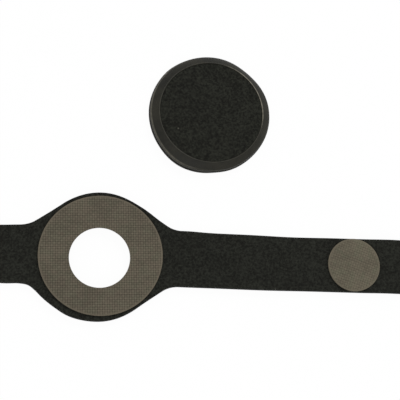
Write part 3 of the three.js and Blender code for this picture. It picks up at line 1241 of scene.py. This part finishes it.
@dataclass
class WovenGrip:
    """A die-cut piece of woven grip fabric, with its yarns in relief and a hole where it has one."""

    node: str
    body: str
    weave: WeaveFinish
    hole_radius: float = 0.0
    hole_centre: Vector = field(default_factory=Vector)
    samples: int = 6
    swing: float = 0.07
    crown: float = 0.11
    edge_width: float = 0.7
    edge_drop: float = 0.12
    edge_flattening: float = 0.6
    outline_steps: int = 192
    smooth_below: float = 75.0
    hole: Vector = field(init=False)

    def __post_init__(self) -> None:
        """Find the hole's centre on the bench, where the weft lies along X."""
        unturn = Matrix.Rotation(-self.weave.turn, 3, "Z")
        self.hole = unturn @ ((self.hole_centre - self.weave.centre) / MM)

    def relief(self, x: np.ndarray, y: np.ndarray) -> np.ndarray:
        """Height of the cloth below its highest yarns.

        Args:
            x: Bench X of each point, along the weft.
            y: Bench Y of each point, along the warp.

        Returns:
            A height of zero or less for each point, in millimetres.
        """
        pitch, stretch = self.weave.pitch, self.weave.stretch
        row, column = np.round(y / pitch), np.round(x / pitch)
        warp_round = np.sqrt(np.clip(1 - ((y - row * pitch) / (pitch / 2)) ** 2, 0, 1))
        weft_round = np.sqrt(np.clip(1 - ((x - column * pitch) / (pitch / 2)) ** 2, 0, 1))
        warp_swing = self.swing * np.cos(math.pi * x / pitch) * np.cos(math.pi * row)
        weft_swing = self.swing * np.cos(math.pi * y / pitch) * np.cos(math.pi * column)
        yarns = np.maximum(warp_swing + self.crown * warp_round, self.crown * weft_round - weft_swing)
        inside = self.weave.radius - np.hypot(x / stretch[0], y / stretch[1])
        if self.hole_radius:
            from_hole = np.hypot(x - self.hole.x, y - self.hole.y) - self.hole_radius
            inside = np.minimum(inside, from_hole)
        near_edge = np.clip(1 - inside / self.edge_width, 0, 1) ** 2
        height = yarns - self.swing - self.crown
        return height * (1 - self.edge_flattening * near_edge) - self.edge_drop * near_edge

    def cloth(self, bottom: float, top: float) -> bpy.types.Object:
        """Make a square of cloth with its yarns in relief, larger than the piece.

        Args:
            bottom: Height of its underside.
            top: Height of its highest yarns.

        Returns:
            The cloth, on the bench.
        """
        cells = math.ceil(self.weave.radius / self.weave.pitch) + 1
        count = 2 * cells * self.samples
        size = 2 * cells * self.weave.pitch
        bpy.ops.object.select_all(action="DESELECT")
        bpy.ops.mesh.primitive_grid_add(
            x_subdivisions=count, y_subdivisions=count, size=size, location=(0, 0, 0)
        )
        cloth = named(self.weave.name)
        places = points(cloth.data)
        places[:, 2] = top + self.relief(places[:, 0], places[:, 1])
        move_points(cloth.data, places)
        with editing(cloth):
            pick(cloth, Pick.EDGE, lambda edge: edge.is_boundary)
            bpy.ops.mesh.extrude_edges_move()
            bpy.ops.transform.resize(value=(1, 1, 0), center_override=(0, 0, bottom))
            bpy.ops.mesh.edge_face_add()
            face_out()
        return cloth

    def build(self) -> None:
        """Model the piece, set it in place and dress it."""
        bottom, top = heights(self.node)
        cloth = self.cloth(bottom, top)
        around = (bottom - OVERRUN / 2, top + OVERRUN / 2)
        outline = drum("outline", self.weave.radius, around, self.outline_steps)
        outline.scale = (*self.weave.stretch, 1)
        bpy.ops.object.transform_apply(location=False, rotation=False, scale=True)
        if self.hole_radius:
            hole = punch("punch", self.hole_radius, (bottom, top), self.outline_steps)
            hole.location = self.hole
            combine(outline, hole, Cut.REMOVE)
        combine(cloth, outline, Cut.KEEP_COMMON)
        cloth.rotation_euler.z = self.weave.turn
        settle(cloth, self.weave.centre, self.smooth_below)
        dress(cloth, self.weave.material())
        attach(cloth, self.body)
        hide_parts(self.node)
        log.info("%s: %d faces", cloth.name, len(cloth.data.polygons))


# The contact disc


@dataclass
class ContactDisc:
    """The contact disc: looped foot, moulded base and bezel, stud, and the padded face."""

    bumps: tuple[Bump, ...] = (
        Bump(50, 22, -0.72),
        Bump(132, 12, 0.22),
        Bump(175, 50, 0.2),
        Bump(238, 20, 0.5),
        Bump(275, 12, -0.3),
        Bump(315, 38, -0.72),
    )
    steps: int = 192
    smooth_below: float = 40.0
    hollow_radius: float = 11.5
    rivet_bore: float = 1.3
    foot_inner_radius: float = 12.2
    seat_radius: float = 19.8
    bezel_land: float = 0.35
    bezel_foot: float = 1.4
    bezel_round: float = 0.45
    bezel_swell: float = 0.12
    bead_seat: float = 0.25
    bead_width: float = 0.5
    bead_rise: float = 0.2
    bead_steps: int = 8
    gap: float = 0.3
    hem_lap: float = 0.7
    fabric: float = 0.4
    pad_air: float = 0.03
    pad_drop: float = 0.02
    pad_round: float = 0.14
    pad_round_steps: int = 6
    pad_dip: float = 0.06
    crown_power: int = 6
    crown_shares: tuple[float, ...] = (0.95, 0.88, 0.8, 0.7, 0.6, 0.5, 0.38, 0.25, 0.12, 0.05)
    foam_dimple: float = 3.5
    stud_steps: int = 96
    stud_flange: float = 0.4
    stud_flange_radius: float = 4.6
    stud_wall: float = 0.8
    stud_middle: float = 0.05
    stud_flat: float = 1.15
    stud_bulge: Point = (0.85, 0.6)
    stud_bulge_steps: int = 10
    stud_bulge_turn: float = math.pi * 0.92
    centre: Vector = field(init=False)
    radius: float = field(init=False)
    hem_radius: float = field(init=False)
    lip_radius: float = field(init=False)

    def __post_init__(self) -> None:
        """Read the disc's place and its radii from the frame."""
        self.centre = centre_of("disc_base")
        self.radius = radius_of("disc_base")
        self.hem_radius = outer_reach("pad_face", self.centre)
        self.lip_radius = self.hem_radius - self.hem_lap + self.gap

    def press(self, piece: bpy.types.Object) -> None:
        """Press the rim out of round, and keep each point's turned radius for the finish.

        Args:
            piece: A turned piece, on the bench.
        """
        places = points(piece.data)
        radius = np.hypot(places[:, 0], places[:, 1])
        piece.data.attributes.new(TURNED_RADIUS, "FLOAT", "POINT").data.foreach_set("value", radius)
        angle = np.degrees(np.arctan2(places[:, 1], places[:, 0]))
        share = np.clip((radius - self.lip_radius) / (self.radius - self.lip_radius), 0, 1)
        outwards = standing_out(self.bumps, angle, period=360) * share
        places[:, :2] *= (1 + outwards / np.maximum(radius, 1))[:, None]
        move_points(piece.data, places)

    def place(self, piece: bpy.types.Object, node: str, slot: str, material: bpy.types.Material) -> None:
        """Set a finished piece in place, dress it and put it on the disc's body.

        Args:
            piece: The piece, on the bench.
            node: The CAD node that it replaces.
            slot: The slot of its finish; not used.
            material: Its material.
        """
        settle(piece, self.centre, self.smooth_below)
        dress(piece, material)
        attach(piece, "disc")
        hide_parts(node)
        log.info("%s: %d faces", piece.name, len(piece.data.polygons))

    def foot(self) -> None:
        """The looped ring under the base."""
        low, high = heights("disc_foot_loop")
        inner, outer = self.foot_inner_radius, outer_reach("disc_foot_loop", self.centre)
        section = [
            (inner, high),
            *eased(inner, low, [(0, 0.1), (0.15, 0)]),
            *eased(outer, low, [(-0.15, 0), (0, 0.1)]),
            (outer, high),
        ]
        foot = turned("foot_loop", section, self.steps, ring=True)
        self.press(foot)
        finish = LoopFinish(name="foot_loop", centre=self.centre)
        self.place(foot, "disc_foot_loop", "loop_knit", finish.material())

    def base(self, material: bpy.types.Material) -> None:
        """The moulded base, with its flange, hollow and seat.

        Args:
            material: Its material.
        """
        low, high = heights("disc_base")
        web = heights("ground_stud")[1]
        flange = heights("disc_bezel")[0]
        section = [
            (self.rivet_bore, web),
            *eased(self.hollow_radius, web, [(-0.4, 0), (-0.1, -0.1), (0, -0.4)]),
            *eased(self.hollow_radius, low, [(0, 0.25), (0.25, 0)]),
            *eased(self.radius, low, [(-0.3, 0), (-0.08, 0.1), (0, 0.35)]),
            *eased(self.radius, flange, [(0, -0.35), (-0.1, -0.08), (-0.35, 0)]),
            (self.seat_radius, flange),
            (self.seat_radius, high),
            (self.rivet_bore, high),
        ]
        base = turned("base_moulding", section, self.steps, ring=True)
        self.press(base)
        self.place(base, "disc_base", "moulded_black", material)

    def bezel_slope(self, foot: Vector, top: Vector) -> list[Point]:
        """The bezel's section from its wall, round the corner and up the swelling slope.

        Args:
            foot: The sharp corner between the wall and the slope.
            top: The slope's upper end.

        Returns:
            The points of the section.
        """
        slope = top - foot
        near = foot - Vector((0, self.bezel_round))
        far = foot + slope.normalized() * self.bezel_round
        corner = [
            near * (1 - share) ** 2 + foot * 2 * share * (1 - share) + far * share**2
            for share in (0, 0.2, 0.4, 0.6, 0.8, 1)
        ]
        swelling = [
            foot + slope * share + Vector((0, self.bezel_swell * math.sin(math.pi * share)))
            for share in (0.4, 0.6, 0.8)
        ]
        return [(point.x, point.y) for point in (*corner, *swelling, top)]

    def bezel(self, material: bpy.types.Material) -> None:
        """The bezel: an upright wall, a slope up to the pad, and a fine bead round the pad.

        Args:
            material: Its material.
        """
        low, high = heights("disc_bezel")
        outer = self.radius - self.bezel_land
        bore = self.seat_radius + self.gap
        lip = self.lip_radius
        lip_z = heights("pad_face")[0] + self.fabric + self.gap
        land = high - self.bead_seat
        bead_out = lip + self.bead_width
        middle = (bead_out + lip) / 2
        bead = []
        for k in range(1, self.bead_steps):
            angle = math.pi * k / self.bead_steps
            across = math.cos(angle) * self.bead_width / 2
            bead.append((middle + across, land + math.sin(angle) * self.bead_rise))
        section = [
            (bore, low),
            *eased(outer, low, [(-0.15, 0), (0, 0.12)]),
            *self.bezel_slope(Vector((outer, low + self.bezel_foot)), Vector((bead_out, land))),
            *bead,
            (lip, land),
            *eased(lip, lip_z, [(0, 0.1), (0.1, 0)]),
            (bore, lip_z),
        ]
        bezel = turned("bezel_moulding", section, self.steps, ring=True)
        self.press(bezel)
        self.place(bezel, "disc_bezel", "moulded_black", material)

    def dome(self, radius: float, top: float) -> list[Point]:
        """The pad's section from its wall over the round edge to the middle of the crown.

        Args:
            radius: Radius of the wall.
            top: Height of the crown.

        Returns:
            The points of the section.
        """
        edge = top - self.pad_dip - self.pad_round
        inner = radius - self.pad_round
        section = [(radius, edge)]
        for k in range(1, self.pad_round_steps + 1):
            angle = math.pi / 2 * k / self.pad_round_steps
            out = radius - self.pad_round * (1 - math.cos(angle))
            section.append((out, edge + self.pad_round * math.sin(angle)))
        for share in self.crown_shares:
            section.append((inner * share, top - self.pad_dip * share**self.crown_power))
        return section

    def pad(self) -> None:
        """The padded face: knit drawn over foam, with a turned-out hem and a soft crown."""
        low, high = heights("pad_face")
        hem, fabric = self.hem_radius, self.fabric
        wall = self.lip_radius - self.pad_air
        top = high - self.pad_drop
        outside = [(wall, low + fabric), *self.dome(wall, top)]
        inside = [(wall - fabric, low), *self.dome(wall - fabric, top - fabric)]
        rim = [(hem, low), *eased(hem, low + fabric, [(0, -0.08), (-0.1, 0)])]
        face = turned("pad_knit", [*reversed(inside), *rim, *outside], self.steps)
        finish = KnitFinish(
            name="pad_knit", centre=self.centre, dark=linear(23.5, 23.5, 20), light=linear(50, 51.5, 44.5)
        )
        self.place(face, "pad_face", "knit_liner", finish.material())

    def filling(self) -> None:
        """The foam in the pad, with a dimple over the rivet's head."""
        low, high = heights("pad_foam")
        radius = outer_reach("pad_foam", self.centre)
        section = [
            (self.foam_dimple, low + 0.6),
            (self.foam_dimple, low),
            (radius, low),
            *eased(radius, high, [(0, -0.55), (-0.6, -0.2), (-1.6, -0.08)]),
            (radius * 0.5, high - 0.05),
        ]
        foam = turned("pad_filling", section, self.steps)
        finish = FoamFinish(name="pad_filling", centre=self.centre)
        self.place(foam, "pad_foam", "foam_core", finish.material())

    def stud(self, material: bpy.types.Material) -> None:
        """The snap stud under the web: a bulging head, a neck and a flange.

        Args:
            material: Its material.
        """
        low, high = heights("ground_stud")
        flange = high - self.stud_flange
        wide, tall = self.stud_bulge
        head = []
        for k in range(1, self.stud_bulge_steps):
            angle = -math.pi / 2 + self.stud_bulge_turn * k / self.stud_bulge_steps
            head.append((self.stud_flat + wide * math.cos(angle), low + tall + tall * math.sin(angle)))
        section = [
            (self.stud_middle, low),
            (self.stud_flat, low),
            *head,
            (1.58, flange - 0.5),
            (1.55, flange - 0.2),
            (1.75, flange - 0.03),
            (2.0, flange),
            (self.stud_flange_radius - 0.2, flange),
            (self.stud_flange_radius, flange + 0.15),
            (self.stud_flange_radius, high),
            (self.rivet_bore, high),
            (self.rivet_bore, low + self.stud_wall),
            (self.stud_middle, low + self.stud_wall),
        ]
        stud = turned("snap_stud", section, self.stud_steps)
        self.place(stud, "ground_stud", "stud_steel", material)

    def build(self, frame: dict) -> None:
        """Model the disc's pieces and dress the hidden ones that keep their CAD shape.

        Args:
            frame: What the frame holds.
        """
        # Painted highlights: a pale line along the bead round the pad and one along the bezel's outer edge,
        # each brightest on one side.
        bead_highlight = {"width": 0.3, "towards": math.radians(29), "least": 0.08, "most": 0.9}
        edge_highlight = {"width": 0.35, "towards": math.radians(185), "least": 0.0, "most": 0.36}
        rubs = (
            Rub(radius=self.lip_radius + self.bead_width / 2, begins=12.5, full_at=19.0, **bead_highlight),
            Rub(radius=self.radius - self.bezel_land - 0.3, **edge_highlight),
        )
        moulded = MouldedFinish(name="moulded_black", centre=self.centre, rubs=rubs).material()
        plated = PlatedFinish(name="plated_steel", centre=self.centre).material()
        self.foot()
        self.base(moulded)
        self.bezel(moulded)
        self.pad()
        self.filling()
        self.stud(plated)
        for node in ("contact_plate", "stud_rivet"):
            dress(frame["nodes"][node], plated)


# The studio


@dataclass
class Studio:
    """White table, soft lights and the camera at the photograph's viewing angle."""

    focal_pixels: float = 1014.1
    image_pixels: float = 400.0
    sensor: float = 36.0
    azimuth: float = math.radians(-30.1)
    elevation: float = math.radians(73.5)
    roll: float = math.radians(31.6)
    distance: float = 373.7 * MM
    target: tuple[float, float, float] = (36.17, 22.27, 3.0)
    clip: Point = (0.01, 20)
    world_level: float = 0.55
    table_size: float = 4.0
    table_white: float = 0.95
    glow: float = 1.01
    glow_share: float = 0.95
    floor_depth: float = 0.05 * MM
    clear_below: float = 0.5 * MM

    def camera(self, eye: Vector) -> None:
        """Set the camera.

        Args:
            eye: Centre of the band's eye, from which the target is measured.
        """
        sin_a, cos_a = math.sin(self.azimuth), math.cos(self.azimuth)
        sin_e, cos_e = math.sin(self.elevation), math.cos(self.elevation)
        back = Vector((sin_a * cos_e, -cos_a * cos_e, sin_e))
        right = Vector((cos_a, sin_a, 0))
        up = back.cross(right)
        sin_r, cos_r = math.sin(self.roll), math.cos(self.roll)
        rolled_right = right * cos_r + up * sin_r
        rolled_up = up * cos_r - right * sin_r
        bpy.ops.object.camera_add()
        camera = bpy.context.active_object
        camera.name = "camera"
        camera.data.sensor_width = self.sensor
        camera.data.lens = self.focal_pixels / self.image_pixels * self.sensor
        camera.data.clip_start, camera.data.clip_end = self.clip
        turn = Matrix((rolled_right, rolled_up, back)).transposed().to_4x4()
        target = eye + Vector(self.target) * MM
        camera.matrix_world = Matrix.Translation(target + back * self.distance) @ turn
        bpy.context.scene.camera = camera

    def lamp(self, name: str, at: Vector, size: float, level: float) -> None:
        """Add a square soft light that points at the middle of the table.

        Args:
            name: The lamp's name.
            at: Where it stands.
            size: Its side, in metres.
            level: About how much it adds to a white surface that faces it, where 1 is white.
        """
        bpy.ops.object.light_add(type="AREA", location=at)
        lamp = bpy.context.active_object
        lamp.name = name
        lamp.data.size = size
        lamp.data.energy = level * math.pi * math.pi * at.length_squared
        lamp.rotation_euler = at.to_track_quat("Z", "Y").to_euler()

    def floor(self) -> None:
        """Lay a white table that stays white to the camera, keeps a faint shadow and is clear from below."""
        bpy.ops.mesh.primitive_plane_add(size=self.table_size, location=(0, 0, -self.floor_depth))
        floor = named("table")
        wires = Wiring("white_table", roughness=0.9, specular=0.0)
        wires.shader.inputs["Base Color"].default_value = (*[self.table_white] * 3, 1)
        path = wires.add("ShaderNodeLightPath", {})
        camera, glossy, through, length = (
            path.outputs[name]
            for name in ("Is Camera Ray", "Is Glossy Ray", "Is Transmission Ray", "Ray Length")
        )
        seen = wires.math("MAXIMUM", camera, wires.math("MAXIMUM", glossy, through))
        glow = wires.add("ShaderNodeEmission", {"Color": (1, 1, 1, 1), "Strength": self.glow}).outputs[0]
        lit = wires.shader_mix(wires.times(seen, self.glow_share), wires.shader.outputs[0], glow)
        behind = wires.add("ShaderNodeNewGeometry", {}).outputs["Backfacing"]
        below = wires.times(behind, camera)
        under = wires.math("LESS_THAN", length, self.clear_below)
        nothing = wires.add("ShaderNodeBsdfTransparent", {}).outputs[0]
        surface = wires.shader_mix(wires.math("MAXIMUM", below, under), lit, nothing)
        wires.links.new(surface, wires.nodes["Material Output"].inputs["Surface"])
        dress(floor, wires.material)

    def world(self) -> None:
        """Light the surroundings evenly, and show them white behind the table."""
        world = bpy.data.worlds.new("surroundings")
        world.use_nodes = True
        bpy.context.scene.world = world
        nodes, links = world.node_tree.nodes, world.node_tree.links
        path = nodes.new("ShaderNodeLightPath")
        level = nodes.new("ShaderNodeMapRange")
        level.inputs["To Min"].default_value = self.world_level
        level.inputs["To Max"].default_value = 1.0
        links.new(path.outputs["Is Camera Ray"], level.inputs["Value"])
        links.new(level.outputs[0], nodes["Background"].inputs["Strength"])
        nodes["Background"].inputs["Color"].default_value = (1, 1, 1, 1)

    def build(self, eye: Vector) -> None:
        """Set up the table, the lights and the camera.

        Args:
            eye: Centre of the band's eye.
        """
        self.world()
        self.floor()
        self.lamp("key", Vector((0.55, 0.75, 0.95)), size=0.5, level=0.26)
        self.lamp("fill", Vector((-0.3, -0.85, 0.85)), size=0.8, level=0.15)
        self.camera(eye)
        bpy.context.scene.view_settings.view_transform = "Standard"


def main() -> None:
    """Build the strap and its studio."""
    logging.basicConfig(level=logging.INFO, format="%(name)s: %(message)s")
    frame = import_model()
    band = Band(frame)
    Studio().build(band.centre)
    band.build()
    ring_weave = WeaveFinish(
        name="ring_weave",
        centre=centre_of("grip_ring"),
        radius=radius_of("grip_ring"),
        stretch=(1.014, 0.993),
        turn=math.radians(2.1),
        pitch=0.872,
        yarn=linear(105, 97, 83),
        furrow=0.42,
        float_contrast=0.34,
    )
    hole_centre = band.centre + Vector((0, -0.65, 0)) * MM
    ring = WovenGrip(
        node="grip_ring", body="eye", weave=ring_weave, hole_radius=10.92, hole_centre=hole_centre
    )
    ring.build()
    coin_weave = WeaveFinish(
        name="coin_weave",
        centre=centre_of("closure_coin"),
        radius=radius_of("closure_coin"),
        turn=math.radians(-18.7),
        pitch=0.886,
        yarn=linear(107, 100, 85),
        furrow=0.17,
        float_contrast=0.29,
    )
    coin = WovenGrip(node="closure_coin", body=band.folds[Arm.RIGHT][-1].child, weave=coin_weave)
    coin.build()
    disc = ContactDisc()
    disc.build(frame)
    for node, centre in (
        ("grip_ring_film", band.centre),
        ("closure_coin_film", coin_weave.centre),
        ("disc_foot_film", disc.centre),
    ):
        dress(frame["nodes"][node], FilmFinish(name=node, centre=centre).material())


if __name__ == "__main__":
    main()
